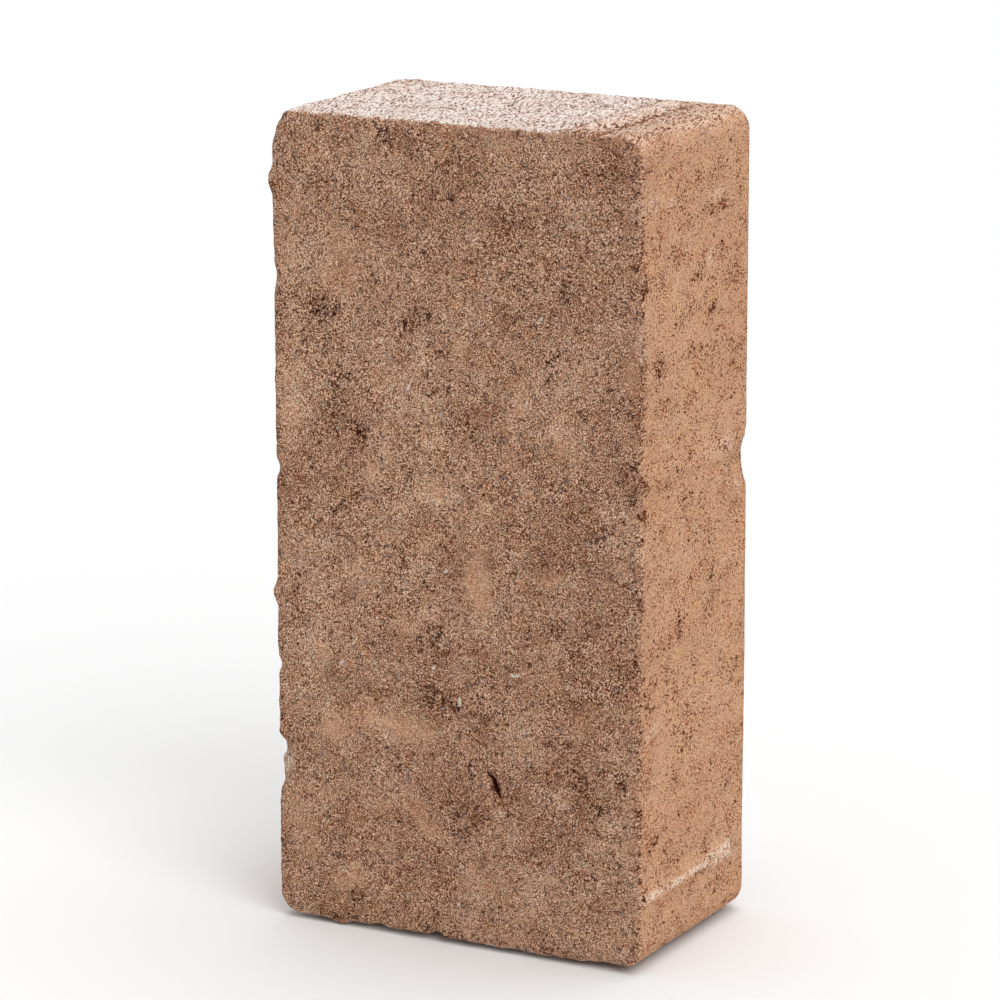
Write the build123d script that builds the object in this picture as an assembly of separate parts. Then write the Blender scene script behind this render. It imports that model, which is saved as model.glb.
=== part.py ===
from build123d import *
import os

# Concrete paver, cast in one piece, standing on one short end.
# X is the paver's width, +Y points to its wear face and +Z runs along its length.
# The origin is on the floor, under the middle of the paver.

# Body
BODY_LENGTH = 198.5
BODY_WIDTH = 98.5
THICKNESS = 60.0
CORNER_RADIUS = 5.5
WEAR_EDGE_RADIUS = 5.0

# Spacer ribs: low rounded ribs on the four sides that keep the laying joint open
RIB_HEIGHT = 1.3
RIB_WIDTH = 8.5
RIB_CORNER_DISTANCE = 17.0
RIB_PITCH = 101.0
RIB_STOP_BELOW_WEAR_FACE = 9.0
RIB_RUNOUT = 4.0

# Chips broken out of the edges
BEDDING_CHIP_HEIGHT = 41.0
BEDDING_CHIP_DEPTH = 2.1
BEDDING_CHIP_SPAN = 13.0
WEAR_CHIP_HEIGHT = 116.0
WEAR_CHIP_DEPTH = 1.3
WEAR_CHIP_SPAN = 12.0

floor_to_body = RIB_HEIGHT
half_width = BODY_WIDTH / 2
bedding_y = -THICKNESS / 2
wear_y = THICKNESS / 2
body_middle_z = floor_to_body + BODY_LENGTH / 2


def body():
    """Rounded block: the mould gives the corners, the tamper shoe the eased wear edge."""
    outline = Plane.XZ * RectangleRounded(BODY_WIDTH, BODY_LENGTH, CORNER_RADIUS)
    block = extrude(outline, THICKNESS / 2, both=True)
    wear_edges = block.faces().sort_by(Axis.Y)[-1].edges()
    block = fillet(wear_edges, WEAR_EDGE_RADIUS)
    return Pos(0, 0, body_middle_z) * block


def spacer_rib():
    """One rib on a side whose outward direction is +X, centred on the origin there.

    Its section is a circular segment, and it fades out short of the wear face.
    """
    half = RIB_WIDTH / 2
    arc_radius = (half**2 + RIB_HEIGHT**2) / (2 * RIB_HEIGHT)
    rib_end_y = wear_y - RIB_STOP_BELOW_WEAR_FACE
    rib_length = rib_end_y - bedding_y
    axis_x = RIB_HEIGHT - arc_radius
    bar = Cylinder(arc_radius, rib_length, rotation=(90, 0, 0))
    bar = Pos(axis_x, bedding_y + rib_length / 2, 0) * bar
    side_view = Plane.XY * Polyline(
        (-RIB_HEIGHT, bedding_y),
        (RIB_HEIGHT, bedding_y),
        (RIB_HEIGHT, rib_end_y - RIB_RUNOUT),
        (0, rib_end_y),
        (-RIB_HEIGHT, rib_end_y),
        close=True,
    )
    envelope = extrude(make_face(side_view), half, both=True)
    return bar & envelope


def rib_places():
    """Where each rib sits and which way it faces. Half a turn of the paver repeats the set."""
    low = floor_to_body + RIB_CORNER_DISTANCE
    end_x = half_width - RIB_CORNER_DISTANCE
    side = [Pos(half_width, 0, z) for z in (low, low + RIB_PITCH)]
    end = Pos(end_x, 0, floor_to_body + BODY_LENGTH) * Rot(0, -90, 0)
    half_turn = Pos(0, 0, body_middle_z) * Rot(0, 180, 0) * Pos(0, 0, -body_middle_z)
    first_half = [*side, end]
    return first_half + [half_turn * place for place in first_half]


def edge_chip(depth, span):
    """A shallow scoop, centred on the origin, that breaks an edge along Z."""
    scoop_radius = (span**2 / 4 + depth**2) / (2 * depth)
    return scoop_radius, Sphere(scoop_radius)


def chips():
    """The two large chips: one on the bedding edge, one on the wear edge."""
    bedding_radius, bedding_scoop = edge_chip(BEDDING_CHIP_DEPTH, BEDDING_CHIP_SPAN)
    wear_radius, wear_scoop = edge_chip(WEAR_CHIP_DEPTH, WEAR_CHIP_SPAN)
    bedding_x = -half_width - bedding_radius + BEDDING_CHIP_DEPTH
    wear_x = half_width + wear_radius - WEAR_CHIP_DEPTH
    return [
        Pos(bedding_x, bedding_y, BEDDING_CHIP_HEIGHT) * bedding_scoop,
        Pos(wear_x, wear_y - WEAR_EDGE_RADIUS, WEAR_CHIP_HEIGHT) * wear_scoop,
    ]


def paver():
    solid = body()
    for place in rib_places():
        solid += place * spacer_rib()
    for chip in chips():
        solid -= chip
    return solid


os.makedirs("parts", exist_ok=True)
export_step(paver(), "parts/paver.step")
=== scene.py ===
import math

import bpy
import numpy as np
from mathutils import Matrix, Vector, noise


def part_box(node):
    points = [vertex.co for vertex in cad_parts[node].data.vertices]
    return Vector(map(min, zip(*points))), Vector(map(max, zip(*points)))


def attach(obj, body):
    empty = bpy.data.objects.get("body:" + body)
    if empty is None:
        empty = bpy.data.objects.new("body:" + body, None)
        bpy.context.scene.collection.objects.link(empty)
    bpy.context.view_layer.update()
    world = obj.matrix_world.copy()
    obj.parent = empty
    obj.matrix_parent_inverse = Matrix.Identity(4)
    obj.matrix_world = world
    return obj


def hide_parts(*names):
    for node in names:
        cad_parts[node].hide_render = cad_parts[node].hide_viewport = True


# A concrete paver standing on one short end. Sizes are in millimetres until the mesh is made.
# X is its width, +Y points to its wear face and Z is the height above the floor.
# A pair named EDGE, SPAN or the like says where something starts and where it is complete.

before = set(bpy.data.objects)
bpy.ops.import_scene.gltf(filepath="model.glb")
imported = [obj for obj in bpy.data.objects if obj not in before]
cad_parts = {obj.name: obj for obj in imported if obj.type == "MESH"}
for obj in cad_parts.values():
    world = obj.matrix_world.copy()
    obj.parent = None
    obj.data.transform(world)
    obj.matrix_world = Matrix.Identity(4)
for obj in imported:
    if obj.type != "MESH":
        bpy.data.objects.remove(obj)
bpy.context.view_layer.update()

MM = 0.001
SEED = 20
NEVER_ZERO = 1e-9
rng = np.random.default_rng(SEED)

# The cast block
RIB_HEIGHT = 1.3
CORNER_RADIUS = 5.5
WEAR_EDGE_RADIUS = 5.0
BED_EDGE_RADIUS = 1.1
SKIN_STEP = 0.9

low, high = (np.array(corner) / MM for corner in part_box("paver"))
FLOOR = low[2]
HALF_WIDTH = high[0] - RIB_HEIGHT
HALF_THICKNESS = high[1]
BODY_BOTTOM = FLOOR + RIB_HEIGHT
BODY_TOP = high[2] - RIB_HEIGHT
HALF_LENGTH = (BODY_TOP - BODY_BOTTOM) / 2
MIDDLE = (BODY_TOP + BODY_BOTTOM) / 2

# Spacer ribs, and the part of each that the wear has left: on the end, then low and high on the side,
# for the half of the set at +X and for the half that repeats it under half a turn
RIB_WIDTH = 8.5
RIB_CORNER_DISTANCE = 17.0
RIB_PITCH = 101.0
RIB_STOP_BELOW_WEAR_FACE = 9.0
RIB_RUNOUT = 4.0
RIB_FACING_EDGE = (0.6, 0.9)
RIBS_LEFT_BY_WEAR = {1: (1.0, 0.75, 0.5), -1: (1.0, 0.9, 0.9)}

# The scuffed line along a side rib, which widens towards the wear face, and the lines at its foot, which
# carry painted shade along the rib's flanks on the end
SCUFF_SHIFT = 0.4
SCUFF_WIDTH = 1.0
SCUFF_WIDENING = 2.0
SCUFF_WIDENING_SPAN = (-5, 22)
SCUFF_EDGE = (0.5, 1.2)
HIGH_RIB_SCUFF = 0.3
HIGH_RIB_SCUFF_SPAN = (-2, 14)
FLANK_FROM_CREST = 4.2
FLANK_EDGE = (0.5, 1.5)

# Uneven faces: one long swell, then the size and seed of finer bumps, with their height on every face
# and what the bed face, the wear face and the ends add to it
SWELL_SIZE = 40.0
SWELL_HEIGHT = 0.2
BUMPS = [
    (8.0, 2, 0.05, 0.12, 0.0, 0.08),
    (2.2, 3, 0.04, 0.18, 0.08, 0.2),
]

# How squarely a point faces a way to count as that face, and the band of wall that goes with the end
FACE_EDGE = (0.5, 0.9)
END_FACING_EDGE = (0.3, 0.98)
END_BAND_HEIGHT = 14
END_BAND_STRENGTH = 0.5

# The bed face's sharp edge, where sand crumbles away in bites and nibbles
BITE_SIZE = 7.0
NIBBLE_SIZE = 1.9
CRUMBLE_DEPTH = 0.6
CRUMBLE_REACH = 1.1

# Chips broken out of the edges: middle, reach each way, depth
CHIPS = [
    ((-49.2, -30.0, 43.5), (5.0, 9.0, 3.2), 2.3),
    ((-49.2, -30.0, 37.0), (4.0, 7.0, 6.5), 1.3),
    ((-48.6, -30.0, 197.0), (4.0, 12.0, 6.0), 1.1),
    ((49.2, 27.0, 114.6), (6.0, 12.0, 7.8), 1.3),
    ((-6.0, -30.0, 1.3), (2.6, 5.0, 3.0), 1.3),
    ((-22.0, -30.0, 1.3), (3.0, 5.0, 2.0), 0.7),
    ((40.0, -30.0, 1.3), (8.0, 4.0, 3.0), 0.8),
    ((-49.2, -30.0, 113.0), (2.5, 5.0, 3.0), 0.8),
    ((-49.2, -30.0, 64.0), (2.5, 5.0, 2.5), 0.8),
    ((-49.2, -30.0, 160.0), (2.5, 5.0, 6.0), 0.6),
    ((49.2, -30.0, 152.0), (2.0, 3.0, 7.0), 0.6),
]
CHIP_EDGE = (0.15, 1.05)
CHIP_JAG_SIZE = 2.6
CHIP_JAG = 0.18

# Single pits in the bed face: across, height, reach, depth
PITS = [
    (9.8, 43.2, 1.0, 0.7), (10.5, 41.6, 1.1, 1.1), (11.3, 40.1, 1.0, 0.8), (44.3, 46.8, 0.9, 0.8),
    (44.6, 45.8, 0.8, 0.6), (-27.0, 170.5, 0.7, 0.6), (-24.6, 116.2, 0.8, 0.6), (-24.3, 113.9, 0.8, 0.6),
    (-13.0, 151.5, 0.8, 0.6), (-31.8, 153.8, 0.7, 0.7), (-31.5, 152.3, 0.7, 0.7), (-36.5, 152.8, 0.7, 0.5),
    (-25.5, 124.5, 0.8, 0.6), (-46.7, 41.9, 0.9, 0.6),
]
PIT_REACH_GAIN = 1.2

# The long open pit in the bed face: its upper and lower end, across and height, and half its width
CLEFT_TOP = (8.3, 46.0)
CLEFT_FOOT = (13.2, 37.0)
CLEFT_HALF_WIDTH = 0.75

# Places on the bed face where sand fell out in clusters: across, height, reach, how badly
BED_CLUSTERS = [
    (-36.5, 152.5, 4.0, 1.0), (-31.5, 153.0, 1.8, 1.0), (-12.5, 151.5, 3.0, 1.0), (-8.0, 154.0, 3.0, 1.0),
    (-6.5, 136.0, 2.5, 0.8), (-31.5, 135.5, 3.5, 0.8), (-28.5, 137.0, 2.0, 0.8), (-33.0, 128.0, 4.0, 0.6),
    (-26.0, 124.5, 4.0, 1.0), (-24.3, 116.0, 1.6, 1.0), (-33.0, 104.0, 3.0, 0.8), (-32.0, 100.5, 2.2, 0.7),
    (4.5, 127.0, 2.5, 1.0), (7.0, 125.5, 2.0, 0.7), (12.5, 125.0, 2.5, 0.6), (-12.0, 169.0, 2.5, 0.8),
    (-7.0, 169.0, 2.5, 0.6), (1.5, 179.0, 2.0, 0.7), (-0.5, 182.5, 1.5, 0.9), (-18.0, 196.0, 3.0, 0.9),
    (26.0, 147.0, 3.0, 0.9), (29.5, 163.0, 3.5, 0.8), (46.0, 123.0, 3.0, 0.8), (47.0, 116.0, 2.0, 0.8),
    (37.5, 106.5, 4.0, 0.7), (41.0, 108.0, 2.0, 0.8), (27.0, 114.0, 3.0, 0.6), (27.0, 82.5, 3.0, 0.9),
    (-7.0, 62.0, 3.5, 0.9), (-3.0, 61.5, 3.0, 0.9), (-5.0, 77.0, 3.5, 0.6), (1.0, 59.0, 2.0, 0.7),
    (5.0, 44.0, 3.0, 0.7), (-2.5, 41.5, 2.2, 0.8), (9.5, 44.5, 1.6, 0.9), (33.0, 46.0, 3.0, 0.8),
    (35.5, 43.0, 3.5, 0.9), (39.0, 40.0, 2.5, 0.9), (44.3, 46.5, 1.8, 1.0), (39.5, 49.0, 2.0, 0.8),
    (11.5, 52.0, 3.0, 0.6), (2.0, 30.0, 5.0, 0.6), (36.0, 23.0, 3.0, 0.6), (-27.0, 8.0, 3.0, 0.8),
    (-32.0, 18.0, 3.0, 0.5), (-11.0, 16.0, 2.0, 0.5),
]

# The same on the side, +X: along the thickness, height, reach, how badly
SIDE_CLUSTERS = [
    (-22.0, 144.5, 4.5, 1.0), (-25.0, 149.0, 3.0, 0.5), (7.2, 155.0, 2.4, 1.0), (-26.0, 131.0, 3.0, 0.8),
    (-4.5, 147.0, 2.5, 0.6), (-12.0, 134.0, 3.0, 0.7), (-6.0, 122.0, 3.0, 0.5), (1.5, 120.0, 1.2, 1.0),
    (-8.0, 111.0, 5.0, 0.6), (7.0, 97.0, 2.0, 0.8), (6.5, 90.0, 2.6, 0.9), (-9.0, 83.0, 3.5, 0.9),
    (-10.0, 78.0, 2.0, 0.6), (-27.0, 65.0, 3.5, 0.8), (-11.0, 56.0, 2.2, 1.0), (-10.0, 51.0, 2.0, 0.7),
    (-23.0, 31.0, 2.6, 1.2), (-22.5, 35.5, 1.4, 0.7), (-21.0, 176.0, 2.0, 0.7), (-19.0, 196.0, 2.5, 0.8),
    (4.0, 198.0, 4.0, 0.8), (11.0, 179.0, 2.0, 0.7), (-28.0, 166.0, 2.5, 0.7), (-28.0, 118.0, 2.5, 0.8),
    (-29.0, 112.0, 2.0, 0.7), (-3.0, 44.0, 3.0, 0.4), (5.0, 80.0, 3.0, 0.5), (19.0, 62.0, 3.0, 0.3),
    (-29.0, 40.0, 2.0, 0.6), (-28.0, 20.0, 2.0, 0.6), (5.0, 21.0, 3.0, 0.4), (-16.0, 68.0, 3.0, 0.5),
    (-27.0, 84.0, 3.0, 0.5), (0.0, 165.0, 4.0, 0.4), (-12.0, 170.0, 3.0, 0.4), (16.0, 140.0, 4.0, 0.3),
]
CLUSTER_EDGE = (0.25, 1.25)

# The small dents in every cluster and all over the bed face, with their least and greatest reach and depth
DENTS_IN_CLUSTER = 5
DENT_SPREAD = 0.5
DENT_ROUNDNESS = 1.5
BED_DENT_REACHES = (0.8, 1.3)
BED_DENT_DEPTHS = (0.1, 0.45)
SIDE_DENT_REACHES = (0.7, 1.0)
SIDE_DENT_DEPTHS = (0.05, 0.3)
LOST_GRAINS = 400
PROUD_GRAINS = 300
GRAIN_REACHES = (0.9, 2.0)
LOST_GRAIN_DEPTHS = (0.1, 0.45)
PROUD_GRAIN_RISES = (0.1, 0.35)

# Pebbles that show in the bed face: across, height, reach, rise
PEBBLES = [(-22.0, 114.6, 2.6, 0.55), (22.8, 155.2, 1.1, 0.4), (25.5, 93.5, 2.2, 0.3), (2.4, 147.2, 1.3, 0.3)]

# Patches of fat paste, pale and closed: across, height, half width, half height, tilt in degrees, how closed
PASTE_PATCHES = [
    (6.5, 91.0, 3.8, 8.4, 4, 0.65), (-5.0, 112.0, 4.6, 3.0, 0, 0.5), (-14.0, 53.0, 9.0, 3.2, -6, 0.75),
    (-33.0, 50.0, 5.2, 3.6, 15, 0.8), (-25.0, 54.0, 6.0, 3.0, 10, 0.6), (-10.0, 32.0, 7.5, 2.4, -50, 0.6),
    (-14.0, 78.0, 3.4, 3.4, 0, 0.5), (-36.0, 67.0, 3.4, 4.2, 10, 0.5), (-29.5, 165.0, 6.5, 10.5, 0, 0.4),
    (-38.0, 190.0, 4.0, 3.5, 0, 0.3), (46.0, 145.0, 3.0, 3.2, 0, 0.6), (17.0, 136.0, 3.0, 3.6, 20, 0.45),
    (25.5, 94.0, 4.0, 2.4, 0, 0.55), (-30.0, 12.0, 5.4, 3.2, 20, 0.6), (19.0, 10.0, 3.6, 4.2, 0, 0.4),
    (-45.0, 130.0, 4.0, 17.0, 0, 0.3), (-22.0, 114.6, 2.4, 2.6, 0, 0.7), (-42.0, 24.0, 5.0, 9.0, 10, 0.3),
    (3.0, 147.0, 2.8, 2.2, 0, 0.5), (-24.0, 30.0, 7.0, 5.0, 0, 0.25), (-17.0, 100.0, 2.2, 1.8, 0, 0.4),
    (-8.5, 99.5, 2.2, 1.8, 0, 0.4), (26.0, 70.0, 3.6, 3.6, 0, 0.35), (-45.0, 170.0, 4.0, 15.0, 0, 0.3),
    (30.0, 125.0, 5.0, 7.0, 20, 0.25), (-18.0, 140.0, 5.0, 4.0, 0, 0.25), (33.0, 60.0, 6.0, 4.0, 0, 0.25),
    (-26.0, 88.0, 6.0, 5.0, 0, 0.25), (10.0, 110.0, 5.0, 4.0, 0, 0.25), (8.0, 18.0, 7.0, 5.0, 0, 0.25),
]

# Patches that lack paste, open and dark: across, height, half width, half height, tilt in degrees
LEAN_PATCHES = [
    (-30.0, 128.0, 7.0, 9.0, 0), (5.0, 126.0, 9.0, 7.0, 0), (-5.0, 61.0, 10.0, 5.5, 0),
    (3.0, 34.0, 7.0, 9.0, 0), (12.0, 42.0, 5.0, 6.0, 30), (37.0, 45.0, 9.0, 6.0, 0),
    (45.5, 120.0, 4.0, 9.0, 0), (29.0, 80.0, 9.0, 7.0, 0), (38.0, 106.5, 7.0, 2.6, 0),
    (-43.0, 48.0, 5.0, 4.0, 0), (-8.0, 105.0, 9.0, 3.0, 0), (-6.0, 75.0, 5.0, 5.0, 0),
    (-37.0, 153.0, 5.0, 4.5, 0), (-10.0, 152.0, 7.0, 4.0, 15), (29.0, 165.0, 4.0, 6.5, 0),
    (20.0, 178.0, 13.0, 4.5, 0), (45.0, 70.0, 5.0, 11.0, 0), (-18.0, 72.0, 8.0, 4.0, 0),
    (-33.0, 102.0, 2.6, 5.0, 0), (28.0, 103.0, 9.0, 12.0, 0), (-16.0, 196.0, 5.0, 3.0, 0),
    (-18.0, 45.0, 9.0, 3.0, 0), (2.0, 180.0, 4.0, 4.0, 0), (45.0, 165.0, 4.0, 5.0, 0),
]
PATCH_EDGE = (0.35, 1.4)

# White dust and lime: middle, reach each way, how thick
DUST_MARKS = [
    ((-47.2, -29.5, 39.8), (2.8, 5.0, 2.8), 1.0), ((-47.6, -30.0, 36.8), (1.2, 2.5, 1.3), 0.85),
    ((49.2, 14.0, 119.0), (3.0, 11.0, 3.4), 0.1), ((49.2, 21.5, 109.0), (3.0, 2.0, 2.0), 0.25),
    ((49.2, 9.0, 181.5), (3.0, 6.0, 2.0), 0.35), ((49.2, 6.0, 167.0), (3.0, 3.0, 3.0), 0.35),
    ((49.2, -25.0, 184.0), (3.0, 6.0, 2.6), 0.35), ((49.2, -24.0, 58.5), (3.0, 6.0, 1.8), 0.25),
    ((49.2, 17.0, 92.0), (3.0, 5.0, 1.4), 0.25), ((49.2, -15.0, 183.0), (3.0, 5.0, 1.4), 0.3),
    ((30.0, -30.0, 178.5), (9.0, 2.0, 0.9), 0.3), ((-42.0, -30.0, 184.0), (6.0, 2.0, 0.7), 0.35),
]
DUST_EDGE = (0.3, 1.2)

# White grains in the bed face: across, height, reach across, reach up
FLECKS = [
    (16.0, 69.5, 1.3, 0.6), (-12.2, 136.0, 0.6, 1.1), (1.4, 61.3, 0.6, 1.1), (-6.0, 68.6, 0.6, 0.8),
    (-4.0, 188.0, 0.8, 0.6), (-8.6, 142.0, 0.6, 0.8), (-31.0, 67.0, 0.7, 0.7), (12.6, 35.0, 0.5, 1.0),
    (22.8, 155.2, 0.8, 0.7), (-2.5, 93.0, 0.5, 0.8),
]
FLECK_EDGE = (0.3, 1.6)

# What the finish follows: ragged rims, the end's browner part where its painted sheen gives way to tan, the
# bed face's lip and where the skin stops
RAG_SIZE = 3.0
RAG = 0.4
BARE_SPAN = (20, 46)
BARE_RAG = 6
LIP_SPAN = (-7, -1)
SKIN_PART_OF_WEAR_EDGE = 0.3
EDGE_BAND = 8


def smooth(low_end, high_end, values):
    """0 at or before low_end, 1 at or past high_end, and an S between them."""
    part = np.clip((values - low_end) / (high_end - low_end), 0, 1)
    return part * part * (3 - 2 * part)


SEED_SHIFT = Vector((31.7, 11.3, 7.9))
OCTAVE_FADE = 1.0
OCTAVE_GAP = 2.0


def ripple(points, size, seed, octaves=1):
    """Smooth random values from about -1 to 1, with bumps of about the given size."""
    shift = SEED_SHIFT * seed
    places = (Vector(point) / size + shift for point in points)
    return np.array([noise.fractal(place, OCTAVE_FADE, OCTAVE_GAP, octaves) for place in places])


def ease(first, second, radius):
    """Bends a square corner, given as depths below its two faces, to a round one."""
    first_in = np.clip(radius - first, 0, None)
    second_in = np.clip(radius - second, 0, None)
    reach = np.hypot(first_in, second_in)
    pull = 1 - np.maximum(first_in, second_in) / np.where(reach > 0, reach, 1)
    return first + first_in * pull, second + second_in * pull


def box_skin(counts):
    """The lattice points on a box's skin, from 0 to 1 each way, and the faces between them."""
    grid = np.indices([count + 1 for count in counts])
    skin = np.zeros(grid.shape[1:], bool)
    for axis, count in enumerate(counts):
        skin |= (grid[axis] == 0) | (grid[axis] == count)
    number = np.full(skin.shape, -1)
    number[skin] = np.arange(skin.sum())
    faces = []
    for axis in range(3):
        for end in (0, -1):
            sheet = np.take(number, end, axis)
            corners = [sheet[:-1, :-1], sheet[1:, :-1], sheet[1:, 1:], sheet[:-1, 1:]]
            quads = np.stack(corners, -1).reshape(-1, 4)
            turned = (end == 0) != (axis == 1)
            faces.append(quads[:, ::-1] if turned else quads)
    return grid[:, skin].T / counts, np.vstack(faces)


def eased_block(steps):
    """The block as the mould leaves it: round plan corners, an eased wear edge, a crisp bed edge.

    Returns its points, and how far each one lies in from the rim of its side or end.
    """
    x = (steps[:, 0] * 2 - 1) * HALF_WIDTH
    y = (steps[:, 1] * 2 - 1) * HALF_THICKNESS
    z = (steps[:, 2] * 2 - 1) * HALF_LENGTH
    side_depth, end_depth = ease(HALF_WIDTH - abs(x), HALF_LENGTH - abs(z), CORNER_RADIUS)
    side_in = np.clip(CORNER_RADIUS - side_depth, 0, None)
    end_in = np.clip(CORNER_RADIUS - end_depth, 0, None)
    reach = np.maximum(np.hypot(side_in, end_in), NEVER_ZERO)
    rim = CORNER_RADIUS - reach
    eased, wear_depth = ease(rim, HALF_THICKNESS - y, WEAR_EDGE_RADIUS)
    eased, bed_depth = ease(eased, y + HALF_THICKNESS, BED_EDGE_RADIUS)
    push = eased - rim
    side_depth += push * side_in / reach
    end_depth += push * end_in / reach
    y = np.where(y > 0, HALF_THICKNESS - wear_depth, bed_depth - HALF_THICKNESS)
    x = np.sign(x) * (HALF_WIDTH - side_depth)
    z = np.sign(z) * (HALF_LENGTH - end_depth) + MIDDLE
    return np.stack([x, y, z], 1), eased


def outward(points, faces):
    """The unit normal at every point."""
    across = points[faces[:, 2]] - points[faces[:, 0]]
    along = points[faces[:, 3]] - points[faces[:, 1]]
    flat = np.cross(across, along)
    total = np.zeros_like(points)
    for corner in range(4):
        np.add.at(total, faces[:, corner], flat)
    return total / np.linalg.norm(total, axis=1, keepdims=True)


def mound(part):
    """1 in the middle, where part is 0, and down in a wave to 0 where part is 1."""
    return (1 + np.cos(math.pi * np.clip(part, 0, 1))) / 2


def ribs(points, normals):
    """How far the spacer ribs stand up, where they are scuffed, and where their flanks are."""
    x, y, z = points.T
    fade = smooth(0, RIB_RUNOUT, HALF_THICKNESS - RIB_STOP_BELOW_WEAR_FACE - y)
    scuff_width = SCUFF_WIDTH + SCUFF_WIDENING * smooth(*SCUFF_WIDENING_SPAN, y)
    high_rib_scuff = HIGH_RIB_SCUFF * smooth(*HIGH_RIB_SCUFF_SPAN, y)
    rise, scuff, flank = np.zeros((3, len(points)))
    for side, left_by_wear in RIBS_LEFT_BY_WEAR.items():
        start = BODY_BOTTOM + RIB_CORNER_DISTANCE if side > 0 else BODY_TOP - RIB_CORNER_DISTANCE
        lines = [
            (side * x - HALF_WIDTH + RIB_CORNER_DISTANCE, side * normals[:, 2], 0.0),
            (z - start, side * normals[:, 0], 1.0),
            (z - start - side * RIB_PITCH, side * normals[:, 0], high_rib_scuff),
        ]
        for (gap, facing, rubbed_and_flank_shade), left in zip(lines, left_by_wear):
            here = smooth(*RIB_FACING_EDGE, facing) * fade
            worn_gap = abs(gap - SCUFF_SHIFT)
            rise = np.maximum(rise, mound(abs(gap) / (RIB_WIDTH / 2)) * here * left * RIB_HEIGHT)
            flank = np.maximum(flank, (1 - smooth(*FLANK_EDGE, abs(worn_gap - FLANK_FROM_CREST))) * here)
            scuff = np.maximum(scuff, (1 - smooth(*SCUFF_EDGE, worn_gap / scuff_width)) * here * rubbed_and_flank_shade)
    return rise, scuff, flank


def dents(points, centres, reaches, depths):
    """Round dents, added up at every point."""
    total = np.zeros(len(points))
    for centre, reach, depth in zip(centres, reaches, depths):
        near = ((points - centre) / reach) ** 2
        total += depth * np.clip(1 - near.sum(1), 0, None) ** DENT_ROUNDNESS
    return total


def on_bed(places):
    """Puts pairs of across and height on the bed face."""
    return np.array([(across, -HALF_THICKNESS, height) for across, height in places])


def on_side(places):
    """Puts pairs of thickness and height on the +X side."""
    return np.array([(HALF_WIDTH, along, height) for along, height in places])


def cluster_dents(points, middles, reaches, dent_reaches, dent_depths):
    """Small dents strewn round the middle of every cluster."""
    count = DENTS_IN_CLUSTER * len(middles)
    spread = rng.normal(0, DENT_SPREAD, (DENTS_IN_CLUSTER, len(middles), 3))
    strewn = (middles + spread * reaches[None, :, None]).reshape(-1, 3)
    return dents(points, strewn, rng.uniform(*dent_reaches, count), rng.uniform(*dent_depths, count))


def grain_dents(points):
    """Grains that stand proud of the bed face, less those that fell out of it."""
    count = LOST_GRAINS + PROUD_GRAINS
    across = rng.uniform(-HALF_WIDTH, HALF_WIDTH, count)
    height = rng.uniform(BODY_BOTTOM, BODY_TOP, count)
    places = on_bed(np.stack([across, height], 1))
    lost, proud = places[:LOST_GRAINS], places[LOST_GRAINS:]
    lost_reaches = rng.uniform(*GRAIN_REACHES, LOST_GRAINS)
    loose = dents(points, lost, lost_reaches, rng.uniform(*LOST_GRAIN_DEPTHS, LOST_GRAINS))
    proud_reaches = rng.uniform(*GRAIN_REACHES, PROUD_GRAINS)
    grains = dents(points, proud, proud_reaches, rng.uniform(*PROUD_GRAIN_RISES, PROUD_GRAINS))
    pebbles = np.array(PEBBLES)
    grains += dents(points, on_bed(pebbles[:, :2]), pebbles[:, 2], pebbles[:, 3])
    return grains - loose


def nearness(points, middle, reach):
    """How far each point is from a middle, where 1 is the reach, a number or one for each way."""
    return np.linalg.norm((points - np.array(middle)) / np.array(reach), axis=1)


def cover(points, middles, reaches, amounts):
    """How far each point lies inside the nearest cluster, times how bad that cluster is."""
    total = np.zeros(len(points))
    for middle, reach, amount in zip(middles, reaches, amounts):
        total = np.maximum(total, amount * (1 - smooth(*CLUSTER_EDGE, nearness(points, middle, reach))))
    return total


def patch_cover(points, patches, ragged):
    """Each listed patch's amount inside it on the bed face, fading at its ragged rim."""
    x, _, z = points.T
    total = np.zeros(len(points))
    for across, height, half_width, half_height, tilt, amount in patches:
        turn = math.radians(tilt)
        right = (x - across) * math.cos(turn) + (z - height) * math.sin(turn)
        up = (z - height) * math.cos(turn) - (x - across) * math.sin(turn)
        reach = np.hypot(right / half_width, up / half_height)
        total = np.maximum(total, amount * (1 - smooth(*PATCH_EDGE, reach + ragged)))
    return total


def dust_cover(points, ragged):
    """How thick the white dust lies."""
    dust = np.zeros(len(points))
    for middle, reach, amount in DUST_MARKS:
        near = nearness(points, middle, reach)
        dust = np.maximum(dust, amount * (1 - smooth(*DUST_EDGE, near + ragged)))
    return dust


def fleck_cover(points, bed):
    """Where the white grains are."""
    fleck = np.zeros(len(points))
    for across, height, reach_across, reach_up in FLECKS:
        near = np.hypot((points[:, 0] - across) / reach_across, (points[:, 2] - height) / reach_up)
        fleck = np.maximum(fleck, (1 - smooth(*FLECK_EDGE, near)) * bed)
    return fleck


def cleft_place(points):
    """How far each point is along the long pit, from 0 to 1, and how far off its line."""
    cleft = np.array(CLEFT_FOOT) - np.array(CLEFT_TOP)
    down = points[:, [0, 2]] - np.array(CLEFT_TOP)
    along = down @ cleft / (cleft @ cleft)
    return along, (down[:, 0] * -cleft[1] + down[:, 1] * cleft[0]) / np.linalg.norm(cleft)


def edge_crumble(points, rim):
    """Sand lost along the bed face's sharp edge."""
    edge_gap = np.abs(points[:, 1] + HALF_THICKNESS) + np.clip(rim, 0, None)
    bites = np.clip(ripple(points, BITE_SIZE, seed=6, octaves=3), 0, None) * CRUMBLE_DEPTH
    nibbles = np.clip(ripple(points, NIBBLE_SIZE, seed=7, octaves=2), 0, None) * CRUMBLE_DEPTH
    return (bites + nibbles) * np.exp(-edge_gap / CRUMBLE_REACH)


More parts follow.
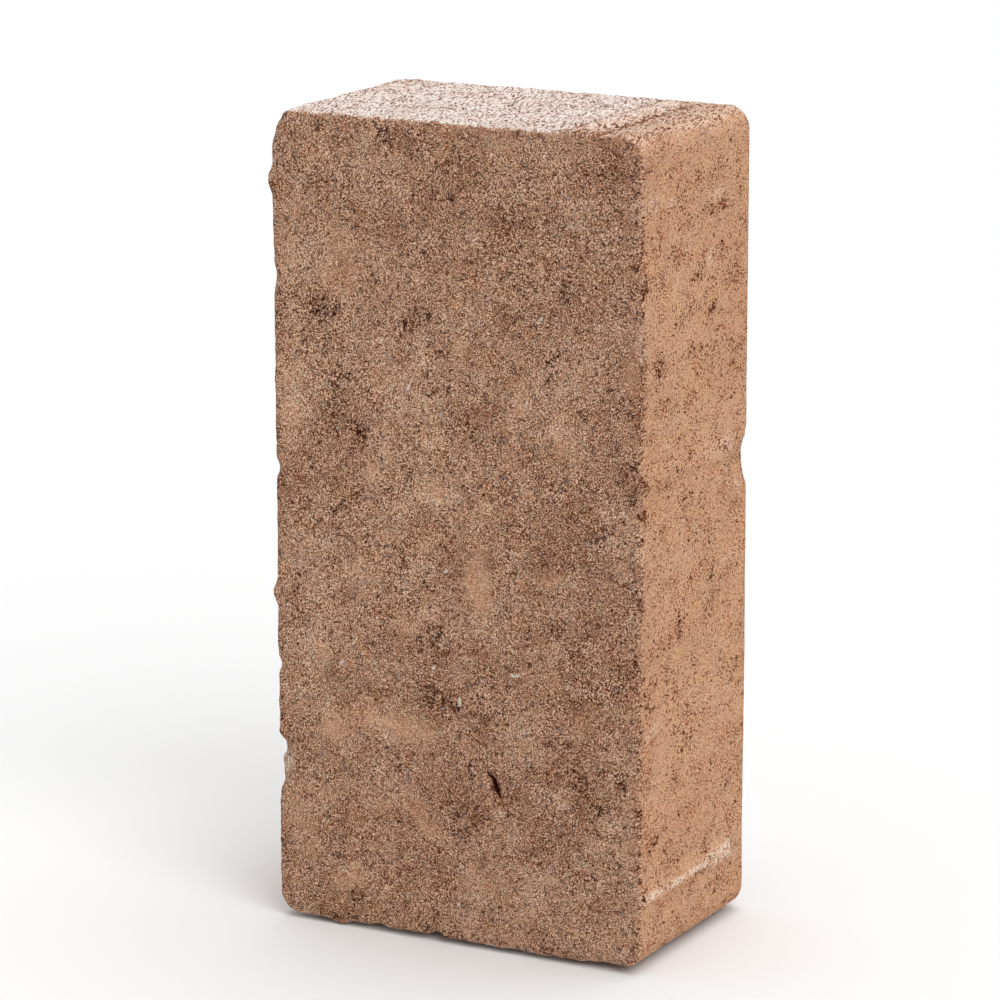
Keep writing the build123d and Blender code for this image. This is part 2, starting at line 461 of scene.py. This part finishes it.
def cast_skin():
    """The paver's skin, with its ribs, chips, pits and uneven faces, and what its finish needs to know."""
    size = 2 * np.array([HALF_WIDTH, HALF_THICKNESS, HALF_LENGTH])
    steps, faces = box_skin(np.round(size / SKIN_STEP).astype(int))
    points, rim = eased_block(steps)
    normals = outward(points, faces)
    bed = smooth(*FACE_EDGE, -normals[:, 1])
    wear = smooth(*FACE_EDGE, normals[:, 1])
    wall = 1 - bed - wear
    near_top = smooth(BODY_TOP - END_BAND_HEIGHT, BODY_TOP, points[:, 2])
    end = wall * np.maximum(smooth(*END_FACING_EDGE, abs(normals[:, 2])), END_BAND_STRENGTH * near_top)
    ragged = ripple(points, RAG_SIZE, seed=5, octaves=3)

    rise, scuff, flank = ribs(points, normals)
    lift = rise + ripple(points, SWELL_SIZE, seed=1) * SWELL_HEIGHT
    for bump_size, seed, everywhere, more_on_bed, more_on_wear, more_on_end in BUMPS:
        bump_height = everywhere + more_on_bed * bed + more_on_wear * wear + more_on_end * end
        lift += ripple(points, bump_size, seed, octaves=2) * bump_height

    pits = np.array(PITS)
    bed_clusters = np.array(BED_CLUSTERS)
    side_clusters = np.array(SIDE_CLUSTERS)
    bed_middles = on_bed(bed_clusters[:, :2])
    side_middles = on_side(side_clusters[:, :2])
    crowd = cover(points, bed_middles, bed_clusters[:, 2], bed_clusters[:, 3])
    crowd = np.maximum(crowd, cover(points, side_middles, side_clusters[:, 2], side_clusters[:, 3]))
    deep = dents(points, on_bed(pits[:, :2]), pits[:, 2] * PIT_REACH_GAIN, pits[:, 3])
    holes = cluster_dents(points, bed_middles, bed_clusters[:, 2], BED_DENT_REACHES, BED_DENT_DEPTHS)
    holes += cluster_dents(points, side_middles, side_clusters[:, 2], SIDE_DENT_REACHES, SIDE_DENT_DEPTHS)
    lift += grain_dents(points) * bed - holes - deep
    lift -= edge_crumble(points, rim)

    broken = np.zeros(len(points))
    jagged = CHIP_JAG * ripple(points, CHIP_JAG_SIZE, seed=8, octaves=2)
    for middle, reach, depth in CHIPS:
        bite = 1 - smooth(*CHIP_EDGE, nearness(points, middle, reach) + jagged)
        broken = np.maximum(broken, bite)
        lift -= bite * depth

    from_bed = points[:, 1] + HALF_THICKNESS - rim
    from_wear = HALF_THICKNESS - SKIN_PART_OF_WEAR_EDGE * WEAR_EDGE_RADIUS - points[:, 1]
    cleft_along, cleft_across = cleft_place(points)
    lean_patches = [(*patch, 1.0) for patch in LEAN_PATCHES]
    marks = {
        "bed": bed,
        "wear": wear,
        "end": end,
        "from_edge": np.clip(np.minimum(from_bed, from_wear), -EDGE_BAND, EDGE_BAND),
        "bare": smooth(*BARE_SPAN, points[:, 0] + BARE_RAG * ragged),
        "lip": bed * smooth(*LIP_SPAN, from_bed) * (points[:, 0] > 0),
        "scuff": scuff,
        "flank": flank,
        "crest": rise / RIB_HEIGHT,
        "fleck": fleck_cover(points, bed),
        "dust": dust_cover(points, RAG * ragged),
        "broken": broken,
        "crowd": crowd,
        "deep": np.clip(deep, 0, 1),
        "cleft_along": cleft_along,
        "cleft_across": cleft_across,
        "paste": patch_cover(points, PASTE_PATCHES, RAG * ragged) * bed,
        "lean": patch_cover(points, lean_patches, RAG * ragged) * bed,
    }
    points = points + normals * lift[:, None]
    points[:, 2] = np.maximum(points[:, 2], FLOOR)
    return points, faces, marks


def make_paver(finish):
    points, faces, marks = cast_skin()
    mesh = bpy.data.meshes.new("paver_skin")
    mesh.from_pydata((points * MM).tolist(), [], faces.tolist())
    for name, values in marks.items():
        mark = mesh.attributes.new(name, "FLOAT", "POINT")
        mark.data.foreach_set("value", values.astype(np.float32))
    mesh.polygons.foreach_set("use_smooth", np.ones(len(faces), bool))
    mesh.materials.append(finish)
    mesh.update()
    piece = bpy.data.objects.new("paver_skin", mesh)
    bpy.context.scene.collection.objects.link(piece)
    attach(piece, "root")
    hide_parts("paver")


class Wire:
    """A shader value. Python's operators on it add Math nodes."""

    def __init__(self, finish, socket):
        self.finish = finish
        self.socket = socket

    def __add__(self, other):
        return self.finish.maths("ADD", self, other)

    def __sub__(self, other):
        return self.finish.maths("SUBTRACT", self, other)

    def __rsub__(self, other):
        return self.finish.maths("SUBTRACT", other, self)

    def __mul__(self, other):
        return self.finish.maths("MULTIPLY", self, other)

    def __abs__(self):
        return self.finish.maths("ABSOLUTE", self)

    __radd__ = __add__
    __rmul__ = __mul__


# The Mix node's colour sockets, which share their names with its others
MIX_FACTOR = 0
MIX_FIRST = 6
MIX_SECOND = 7
MIX_RESULT = 2


class Finish:
    """A material, or the world, and the few calls that build its nodes."""

    def __init__(self, tree):
        self.tree = tree
        self.tree.nodes.clear()

    def node(self, kind, settings, inputs, output=0):
        """One node: its settings first, then the values or links of its sockets."""
        made = self.tree.nodes.new("ShaderNode" + kind)
        for name, value in settings.items():
            if name == "stops":
                self.set_stops(made.color_ramp, value)
            else:
                setattr(made, name, value)
        for key, value in inputs.items():
            if isinstance(value, Wire):
                self.tree.links.new(value.socket, made.inputs[key])
            else:
                made.inputs[key].default_value = value
        return Wire(self, made.outputs[output]) if made.outputs else None

    def set_stops(self, ramp, stops):
        while len(ramp.elements) < len(stops):
            ramp.elements.new(1.0)
        for element, (place, colour) in zip(ramp.elements, stops):
            element.position = place
            element.color = colour

    def maths(self, operation, first, second=0):
        return self.node("Math", {"operation": operation}, {0: first, 1: second})

    def limit(self, value):
        return self.node("Clamp", {}, {"Value": value})

    def step(self, value, start, stop):
        """0 before start, 1 past stop, and an S between them."""
        ends = {"Value": value, "From Min": start, "From Max": stop}
        return self.node("MapRange", {"interpolation_type": "SMOOTHSTEP"}, ends)

    def mark(self, name):
        """What the mesh knows about each point."""
        return self.node("Attribute", {"attribute_name": name}, {}, "Fac")

    def place(self, stretch, turn=0.0):
        """Where a point is on the paver, in millimetres, turned about Z and divided by its stretch."""
        there = self.node("TexCoord", {}, {}, "Object")
        there = self.node("VectorRotate", {"rotation_type": "Z_AXIS"}, {"Vector": there, "Angle": turn})
        scale = [1 / (MM * part) for part in stretch]
        return self.node("VectorMath", {"operation": "MULTIPLY"}, {0: there, 1: scale})

    def noise(self, place, size, detail, roughness=0.5, output="Fac"):
        """Cloudy values from 0 to 1, mostly near 0.5."""
        inputs = {"Vector": place, "Scale": 1 / size, "Detail": detail, "Roughness": roughness}
        return self.node("TexNoise", {}, inputs, output)

    def cells(self, place, size):
        """One random cell for each grain: how far it is to the cell's middle, and its random colour."""
        distance = self.node("TexVoronoi", {}, {"Vector": place, "Scale": 1 / size}, "Distance")
        colour = Wire(self, distance.socket.node.outputs["Color"])
        return {"Distance": distance, "Color": colour}

    def part_of(self, colour, channel):
        return self.node("SeparateColor", {}, {"Color": colour}, channel)

    def mix(self, factor, first, second, blend="MIX"):
        settings = {"data_type": "RGBA", "blend_type": blend}
        inputs = {MIX_FACTOR: factor, MIX_FIRST: first, MIX_SECOND: second}
        return self.node("Mix", settings, inputs, MIX_RESULT)

    def between(self, factor, first, second):
        """Numbers: first where factor is 0, second where it is 1."""
        return first + (second - first) * factor

    def ramp(self, value, stops):
        return self.node("ValToRGB", {"stops": stops}, {"Fac": value})


def new_material(name):
    material = bpy.data.materials.new(name)
    material.use_nodes = True
    return material, Finish(material.node_tree)


def shade(red, green, blue):
    """A colour as a paint card reads it, from 0 to 255, turned to linear light by the sRGB formula."""
    parts = [part / 255 for part in (red, green, blue)]
    return [part / 12.92 if part <= 0.04045 else ((part + 0.055) / 1.055) ** 2.4 for part in parts] + [1]


# The darkest browns, laid in gaps, holes, creases, cracks and the long pit, are partly the sand's own brown
# and partly painted shade in those recesses
PIT_BROWN = shade(54, 22, 13)
PIT_RED = shade(122, 66, 42)
DEEP_BROWN = shade(70, 22, 7)
GAP_BROWN = shade(80, 32, 13)
SHADE_BROWN = shade(132, 88, 63)
BED_BROWN = shade(186, 137, 105)
SAND = shade(215, 171, 141)
PALE_GRAIN = shade(244, 212, 186)
PASTE_TAN = shade(185, 145, 115)
BREAK_PALE = shade(216, 180, 154)
SLIP_TAN = shade(205, 161, 129)
SLIP_LIGHT = shade(222, 181, 149)
SLIP_SHADE = shade(176, 122, 90)
RUST = shade(96, 36, 8)
LIP_PINK = shade(180, 136, 116)
PORE_BROWN = shade(72, 24, 6)
DUST_WHITE = shade(236, 216, 196)
FLECK_WHITE = shade(244, 232, 216)
END_SHADE = shade(92, 52, 34)
END_TAN = shade(196, 148, 120)
# The end's two palest colours are a painted sheen: grazing light off the white backdrop, laid into its colour
# over the tan
END_SHEEN_PALE = shade(241, 209, 191)
END_SHEEN_WHITE = shade(255, 244, 237)
BARE_SHADE = shade(120, 66, 40)
BARE_TAN = shade(200, 152, 120)
BARE_LIGHT = shade(232, 196, 170)

# How far grains and pores are drawn out along Y, the way the mould is pulled off
DRAG = 1.7
END_DRAG = (0.6, 2.2, 1)
END_PULL_ANGLE = math.radians(-12)

# Each of these tints drifts over the concrete by a random field of its own
CASTS = {
    "redder": (1.09, 0.96, 0.92, 1),
    "greyer": (0.95, 1.0, 1.07, 1),
    "yellower": (1.03, 1.0, 0.92, 1),
}
CAST_EDGE = (0.47, 0.66)
CAST_STRENGTH = 0.5

# The random fields, and those of them that are used as swings round their middle
GRAIN_SIZE = 0.38
GRAIN_GAP_EDGE = (0.35, 0.75)
FIELD_MIDDLE = 0.5
SWINGING = ("kind", "grit", "specks", "clump", "cracks", "pocks", "redder", "greyer", "blotch", "cloud")


def shared_fields(finish):
    """The random fields that all the faces share, from single grains up to clouds.

    Returns them as they are, from 0 to 1, and some of them as swings round their middle.
    """
    place = finish.place((1, DRAG, 1))
    end_place = finish.place(END_DRAG, END_PULL_ANGLE)
    sand = finish.cells(place, GRAIN_SIZE)
    drift = finish.noise(place, size=4.5, detail=2.0, roughness=0.6, output="Color")
    fields = {
        "gap": finish.step(sand["Distance"], *GRAIN_GAP_EDGE),
        "kind": finish.part_of(sand["Color"], "Red"),
        "sparkle": finish.part_of(sand["Color"], "Green"),
        "grit": finish.noise(place, size=0.26, detail=1.0),
        "specks": finish.noise(place, size=0.44, detail=2.0, roughness=0.55),
        "clump": finish.noise(place, size=1.3, detail=3.0, roughness=0.65),
        "cracks": finish.noise(place, size=2.4, detail=2.0, roughness=0.6),
        "pocks": finish.noise(end_place, size=1.0, detail=2.0, roughness=0.6),
        "redder": finish.part_of(drift, "Red"),
        "greyer": finish.part_of(drift, "Green"),
        "yellower": finish.part_of(drift, "Blue"),
        "blotch": finish.noise(place, size=7.0, detail=2.0, roughness=0.6),
        "cloud": finish.noise(place, size=24.0, detail=1.0),
    }
    return fields, {name: fields[name] - FIELD_MIDDLE for name in SWINGING}


def add_up(start, values, weights):
    """Adds every named value, times its weight, to the start."""
    for name, weight in weights.items():
        start = start + values[name] * weight
    return start


def paint(finish, colour, masks, coats):
    """Lays each coat, a strength and a colour, over the one before, where its mask is."""
    for name, (strength, coat) in coats.items():
        colour = finish.mix(masks[name] * strength, colour, coat)
    return colour


def cast_tints(finish, fields, colour):
    """Lets the concrete drift between a redder, a greyer and a yellower brown."""
    for name, cast in CASTS.items():
        colour = finish.mix(finish.step(fields[name], *CAST_EDGE) * CAST_STRENGTH, colour, cast, "MULTIPLY")
    return colour


# The long pit: how its sides wander, where along it they open and close, and its core and rim
CLEFT_WANDER = 1.6
CLEFT_OPENING = (0.0, 0.45)
CLEFT_CLOSING = (1.0, 0.5)
CLEFT_TOP_EDGE = (-0.02, 0.05)
CLEFT_CORE_EDGE = (-0.1, 0.3)
CLEFT_RIM_GAIN = 2.2
CLEFT_RIM_EDGE = (0.0, 0.6)


def cleft_cover(finish, swings):
    """The long pit's open core and the red rim around it, both thinning towards its two ends."""
    along = finish.mark("cleft_along")
    across = abs(finish.mark("cleft_across") + swings["clump"] * CLEFT_WANDER)
    open_part = finish.step(along, *CLEFT_OPENING) * finish.step(along, *CLEFT_CLOSING)
    width = open_part * CLEFT_HALF_WIDTH
    core = finish.step(width - across, *CLEFT_CORE_EDGE)
    rim = finish.step(width * CLEFT_RIM_GAIN - across, *CLEFT_RIM_EDGE)
    bed = finish.mark("bed")
    return core * finish.step(along, *CLEFT_TOP_EDGE) * bed, rim * bed


# The bed face. Closed paste and the lip beside the edge are smoother than the rest
WEAR_FACE_PASTE = 0.6
LIP_EDGE = (0.40, 0.56)
PASTE_SMOOTHING = 0.5
LIP_SMOOTHING = 0.3

# Its tone runs from 0, a dark gap, to 1, a pale grain, and each field sways it
BED_TONE = 0.645
BED_GRAIN_SWAY = {"kind": 0.48, "grit": 3.4, "clump": -0.4}
BED_PATCH_SWAY = {"blotch": 0.6, "cloud": 0.35}
BED_MARK_SWAY = {"lean": -0.04, "closed": 0.02}
# The gaps between grains darken the tone, partly as painted shade between the grains
GAP_SHADE = 0.16
BED_STOPS = [(0.0, GAP_BROWN), (0.28, SHADE_BROWN), (0.55, BED_BROWN), (0.82, SAND), (1.0, PALE_GRAIN)]
BED_COATS = {"closed": (0.3, PASTE_TAN), "lip": (0.4, LIP_PINK)}
SPARKLE_EDGE = (0.95, 0.97)
SPARKLE_STRENGTH = 0.5

# Its openings: what loosens the sand, and where gaps, holes, creases and cracks show
GAP_LOOSENING = {"lean": 0.015, "crowd": 0.03, "closed": -0.12}
GAP_EDGE = (0.565, 0.625)
HOLE_LOOSENING = {"crowd": 0.08, "deep": 0.3, "edge": 0.04}
HOLE_EDGE = (0.655, 0.685)
CREASE_GRIT = 0.08
CREASE_EDGE = (0.018, 0.008)
CREASE_PASTE = 0.2
CREASED_EDGE = (0.50, 0.58)
CRACK_EDGE = (0.026, 0.014)
CRACKED_CLUMP = 1.8
CRACKED_EDGE = (0.40, 0.55)
PIT_CLUMP = 0.8
PIT_EDGE = (0.35, 0.6)
FLECK_CLUMP = 3
FLECK_PAINT_EDGE = (0.45, 0.75)
# The dark coats of gaps, creases, cracks, holes and the long pit's core are partly the sand's own brown and
# partly painted shade in those openings
OPENING_COATS = {
    "gaps": (0.75, GAP_BROWN),
    "creases": (0.8, DEEP_BROWN),
    "cracks": (0.9, DEEP_BROWN),
    "holes": (0.96, DEEP_BROWN),
    "pit": (0.8, PIT_RED),
    "cleft_rim": (0.5, PIT_RED),
    "cleft": (1.0, PIT_BROWN),
    "fleck": (0.8, FLECK_WHITE),
}

# Its relief, in millimetres
BED_GRAIN_RELIEF = {"grit": 0.35, "clump": -0.5}
GAP_RELIEF = 0.10
BLOTCH_RELIEF = 0.5
OPENING_RELIEF = {"gaps": -0.15, "holes": -0.35, "creases": -0.25, "cracks": -0.25, "cleft": -0.8}


def bed_openings(finish, fields, swings, marks):
    """Where the bed face is open, and where a white grain shows."""
    clump = swings["clump"]
    contour = abs(swings["greyer"] + swings["grit"] * CREASE_GRIT)
    creased = finish.step(fields["clump"] - marks["closed"] * CREASE_PASTE, *CREASED_EDGE)
    cracked = finish.step(marks["crowd"] + clump * CRACKED_CLUMP, *CRACKED_EDGE)
    cleft, cleft_rim = cleft_cover(finish, swings)
    return {
        "gaps": finish.step(add_up(fields["specks"], marks, GAP_LOOSENING), *GAP_EDGE),
        "holes": finish.step(add_up(fields["clump"], marks, HOLE_LOOSENING), *HOLE_EDGE),
        "creases": finish.step(contour, *CREASE_EDGE) * creased,
        "cracks": finish.step(abs(swings["cracks"]), *CRACK_EDGE) * cracked,
        "pit": finish.step(marks["deep"] + clump * PIT_CLUMP, *PIT_EDGE),
        "cleft": cleft,
        "cleft_rim": cleft_rim,
        "fleck": finish.step(finish.mark("fleck") + clump * FLECK_CLUMP, *FLECK_PAINT_EDGE),
    }


def bed_finish(finish, fields, swings, edge):
    """Open, sandy concrete: fine grains with dark gaps between them, darkened partly by painted shade.
    Returns its colour and height.
    """
    paste = finish.mark("paste")
    drifting_paste = (swings["clump"] + swings["blotch"]) * paste
    marks = {
        "closed": finish.limit(paste + finish.mark("wear") * WEAR_FACE_PASTE + drifting_paste),
        "lip": finish.mark("lip") * finish.step(fields["yellower"], *LIP_EDGE),
        "crowd": finish.mark("crowd"),
        "lean": finish.mark("lean"),
        "deep": finish.mark("deep"),
        "edge": edge,
    }
    rough = 1 - marks["closed"] * PASTE_SMOOTHING - marks["lip"] * LIP_SMOOTHING
    tone = add_up(fields["gap"] * -GAP_SHADE, swings, BED_GRAIN_SWAY) * rough + BED_TONE
    tone = add_up(add_up(tone, swings, BED_PATCH_SWAY), marks, BED_MARK_SWAY)
    colour = paint(finish, finish.ramp(tone, BED_STOPS), marks, BED_COATS)
    colour = cast_tints(finish, fields, colour)
    pale = finish.step(fields["sparkle"], *SPARKLE_EDGE) * (1 - fields["gap"]) * rough
    colour = finish.mix(pale * SPARKLE_STRENGTH, colour, PALE_GRAIN)
    openings = bed_openings(finish, fields, swings, marks)
    colour = paint(finish, colour, openings, OPENING_COATS)
    height = add_up(fields["gap"] * -GAP_RELIEF, swings, BED_GRAIN_RELIEF) * rough
    height = add_up(height + swings["blotch"] * BLOTCH_RELIEF, openings, OPENING_RELIEF)
    return colour, height


# The mould skin: what crowds its pores, where their three kinds show, its tone and its relief
PORE_CROWDING = {"redder": 0.32, "blotch": 0.25}
CLUSTER_CROWDING = 0.07
HALO_CROWDING = 0.5
HALO_EDGE = (0.53, 0.60)
SMALL_PORE_EDGE = (0.59, 0.615)
LARGE_PORE_CROWDING = {"thick": 0.4, "crowd": 0.05, "edge": 0.06}
LARGE_PORE_EDGE = (0.64, 0.66)
SLIP_TONE = 0.50
SLIP_SWAY = {"grit": 2.6, "kind": 0.24, "clump": -0.3, "cloud": 0.4}
SLIP_STOPS = [(0.1, SLIP_SHADE), (0.55, SLIP_TAN), (0.95, SLIP_LIGHT)]
PORE_COATS = {"halo": (0.35, SLIP_SHADE), "small": (0.8, RUST), "large": (0.9, PORE_BROWN)}
SLIP_GRIT_RELIEF = 0.12
PORE_RELIEF = {"small": -0.12, "large": -0.35}


def slip_finish(finish, fields, swings, edge):
    """The smooth, tan skin that the mould wall leaves, peppered with pores."""
    crowd = finish.mark("crowd")
    thick = add_up(crowd * CLUSTER_CROWDING, swings, PORE_CROWDING)
    marks = {"thick": thick, "crowd": crowd, "edge": edge}
    pores = {
        "halo": finish.step(fields["specks"] + thick * HALO_CROWDING, *HALO_EDGE),
        "small": finish.step(fields["specks"] + thick, *SMALL_PORE_EDGE),
        "large": finish.step(add_up(fields["clump"], marks, LARGE_PORE_CROWDING), *LARGE_PORE_EDGE),
    }
    colour = finish.ramp(add_up(SLIP_TONE, swings, SLIP_SWAY), SLIP_STOPS)
    colour = paint(finish, cast_tints(finish, fields, colour), pores, PORE_COATS)
    return colour, add_up(swings["grit"] * SLIP_GRIT_RELIEF, pores, PORE_RELIEF)


# The end: dark streaks, partly painted shade of fine ridges, in a pale painted sheen of grazing light;
# painted shade on the rib's flanks and a painted highlight on its crest; and the browner part past the rib,
# where the painted sheen gives way to tan
STREAK_EDGE = (0.54, 0.60)
# Where the painted shade on the rib's flanks breaks into streaks
FLANK_SHADE_EDGE = (0.30, 0.50)
# A high tone puts the end mostly in the painted sheen's pale and white stops
END_TONE = 0.94
END_SWAY = {"pocks": -3.2, "grit": 6.0, "blotch": 0.9}
# On the end, painted shade darkens the rib's flanks and a painted highlight lightens its crest
END_MARK_SWAY = {"streaks": -0.6, "rubbed_and_flank_shade": -1.0, "crest": 0.3, "bare": -0.2}
END_STOPS = [(0.0, END_SHADE), (0.38, END_TAN), (0.68, END_SHEEN_PALE), (1.0, END_SHEEN_WHITE)]
BARE_STOPS = [(0.0, BARE_SHADE), (0.45, BARE_TAN), (1.0, BARE_LIGHT)]
BARE_STRENGTH = 0.85
END_RELIEF = {"grit": 0.25, "pocks": -1.2}


def end_finish(finish, fields, swings):
    """An open end: brown pits and streaks, partly painted shade of fine ridges, under a pale painted sheen of
    grazing light, with painted shade along the rib's flanks and a painted highlight on its crest.
    """
    marks = {
        "streaks": finish.step(fields["pocks"], *STREAK_EDGE),
        # painted shade along the rib's flanks, broken into streaks
        "rubbed_and_flank_shade": finish.mark("flank") * finish.step(fields["clump"], *FLANK_SHADE_EDGE),
        # painted highlight on the rib's crest
        "crest": finish.mark("crest"),
        "bare": finish.mark("bare"),
    }
    tone = add_up(add_up(END_TONE, swings, END_SWAY), marks, END_MARK_SWAY)
    sheened_end = finish.ramp(tone, END_STOPS)
    colour = finish.mix(marks["bare"] * BARE_STRENGTH, sheened_end, finish.ramp(tone, BARE_STOPS))
    return colour, add_up(0, swings, END_RELIEF)


# Where one face's finish gives way to the next, and the chips and the white scuffs over them
EDGE_WANDER = {"blotch": 8, "clump": 8, "specks": 6}
CHIP_WANDER = 3
EDGE_MIDDLE = 0.6
EDGE_STRIP = (2.6, 0.8)
SKIN_EDGE = (-0.9, 1.8)
END_WANDER = 0.14
END_EDGE = (0.2, 0.95)
BREAK_STRENGTH = 0.45
SPECKLE_CLUMP = 0.6
SPECKLE_EDGE = (0.58, 0.44)
SPECKLE_STRENGTH = 0.92
SCUFF_STRENGTH = 0.75
SCUFF_CLUMP_EDGE = (0.60, 0.48)


def concrete():
    material, finish = new_material("concrete")
    fields, swings = shared_fields(finish)
    broken = finish.mark("broken")
    wander = add_up(0, swings, EDGE_WANDER)
    from_edge = finish.mark("from_edge") + wander - broken * CHIP_WANDER
    edge = finish.step(abs(from_edge - EDGE_MIDDLE), *EDGE_STRIP)
    bed_colour, bed_height = bed_finish(finish, fields, swings, edge)
    slip_colour, slip_height = slip_finish(finish, fields, swings, edge)
    end_colour, end_height = end_finish(finish, fields, swings)
    bed_colour = finish.mix(broken * BREAK_STRENGTH, bed_colour, BREAK_PALE)
    skinned = finish.step(from_edge, *SKIN_EDGE)
    end = finish.step(finish.mark("end") + wander * END_WANDER, *END_EDGE)
    colour = finish.mix(end, slip_colour, end_colour)
    colour = finish.mix(skinned, bed_colour, colour)
    speckle = finish.step(fields["specks"] + swings["clump"] * SPECKLE_CLUMP, *SPECKLE_EDGE)
    rubbed_and_flank_shade = finish.mark("scuff") * SCUFF_STRENGTH * finish.step(fields["clump"], *SCUFF_CLUMP_EDGE)
    scuffed = finish.limit(rubbed_and_flank_shade + finish.mark("dust"))
    powder = scuffed * (speckle * SPECKLE_STRENGTH + (1 - SPECKLE_STRENGTH))
    colour = finish.mix(powder, colour, DUST_WHITE)
    height = finish.between(end, slip_height, end_height)
    height = finish.between(skinned, bed_height, height)
    bump = finish.node("Bump", {}, {"Height": height, "Distance": MM, "Strength": 1.0}, "Normal")
    sockets = {"Base Color": colour, "Normal": bump, "Roughness": 0.9, "Specular IOR Level": 0.0}
    body = finish.node("BsdfPrincipled", {}, sockets, "BSDF")
    finish.node("OutputMaterial", {}, {"Surface": body})
    return material


# Studio, in metres and degrees. The lamps: strength, softness, and where the light comes from
CAMERA_PLACE = (0.52565, -0.98403, 0.37559)
CAMERA_TURN = 28.287
CAMERA_DROP = 13.682
CAMERA_ROLL = -0.132
CAMERA_LENS = 171.51
FLOOR_REACH = 8.0
FLOOR_WHITE = (0.86, 0.86, 0.86, 1)
SKY_WHITE = (1, 1, 1, 1)
AMBIENT = 0.42
SUNS = {
    "overhead_softbox": (1.6, 50, (0.05, 0.10, 0.99)),
    "front_softbox": (1.25, 40, (0.62, -0.45, 0.64)),
}


def make_camera():
    camera = bpy.data.objects.new("camera", bpy.data.cameras.new("camera"))
    camera.data.lens = CAMERA_LENS
    turn = Matrix.Rotation(math.radians(CAMERA_TURN), 4, "Z")
    tilt = Matrix.Rotation(math.radians(90 - CAMERA_DROP), 4, "X")
    roll = Matrix.Rotation(math.radians(CAMERA_ROLL), 4, "Z")
    camera.matrix_world = Matrix.Translation(CAMERA_PLACE) @ turn @ tilt @ roll
    bpy.context.scene.collection.objects.link(camera)
    bpy.context.scene.camera = camera


def make_sun(name, strength, softness, towards):
    lamp = bpy.data.lights.new(name, "SUN")
    lamp.energy = strength
    lamp.angle = math.radians(softness)
    sun = bpy.data.objects.new(name, lamp)
    sun.rotation_euler = Vector(towards).to_track_quat("Z", "Y").to_euler()
    bpy.context.scene.collection.objects.link(sun)


def make_floor():
    material, finish = new_material("studio_floor")
    white = finish.node("BsdfDiffuse", {}, {"Color": FLOOR_WHITE}, "BSDF")
    finish.node("OutputMaterial", {}, {"Surface": white})
    mesh = bpy.data.meshes.new("studio_floor")
    corners = [(x * FLOOR_REACH, y * FLOOR_REACH, 0) for x, y in ((-1, -1), (1, -1), (1, 1), (-1, 1))]
    mesh.from_pydata(corners, [], [(0, 1, 2, 3)])
    mesh.materials.append(material)
    floor = bpy.data.objects.new("studio_floor", mesh)
    bpy.context.scene.collection.objects.link(floor)


def make_world():
    """White to the camera and in reflections, and a plainer light for everything else."""
    world = bpy.data.worlds.new("studio")
    world.use_nodes = True
    bpy.context.scene.world = world
    finish = Finish(world.node_tree)
    camera_ray = finish.node("LightPath", {}, {}, "Is Camera Ray")
    glossy_ray = finish.node("LightPath", {}, {}, "Is Glossy Ray")
    strength = finish.limit(camera_ray + glossy_ray) * (1 - AMBIENT) + AMBIENT
    sky = finish.node("Background", {}, {"Color": SKY_WHITE, "Strength": strength}, "Background")
    finish.node("OutputWorld", {}, {"Surface": sky})


make_paver(concrete())
make_camera()
make_floor()
make_world()
for sun_name, (strength, softness, towards) in SUNS.items():
    make_sun(sun_name, strength, softness, towards)
bpy.context.scene.view_settings.view_transform = "Standard"
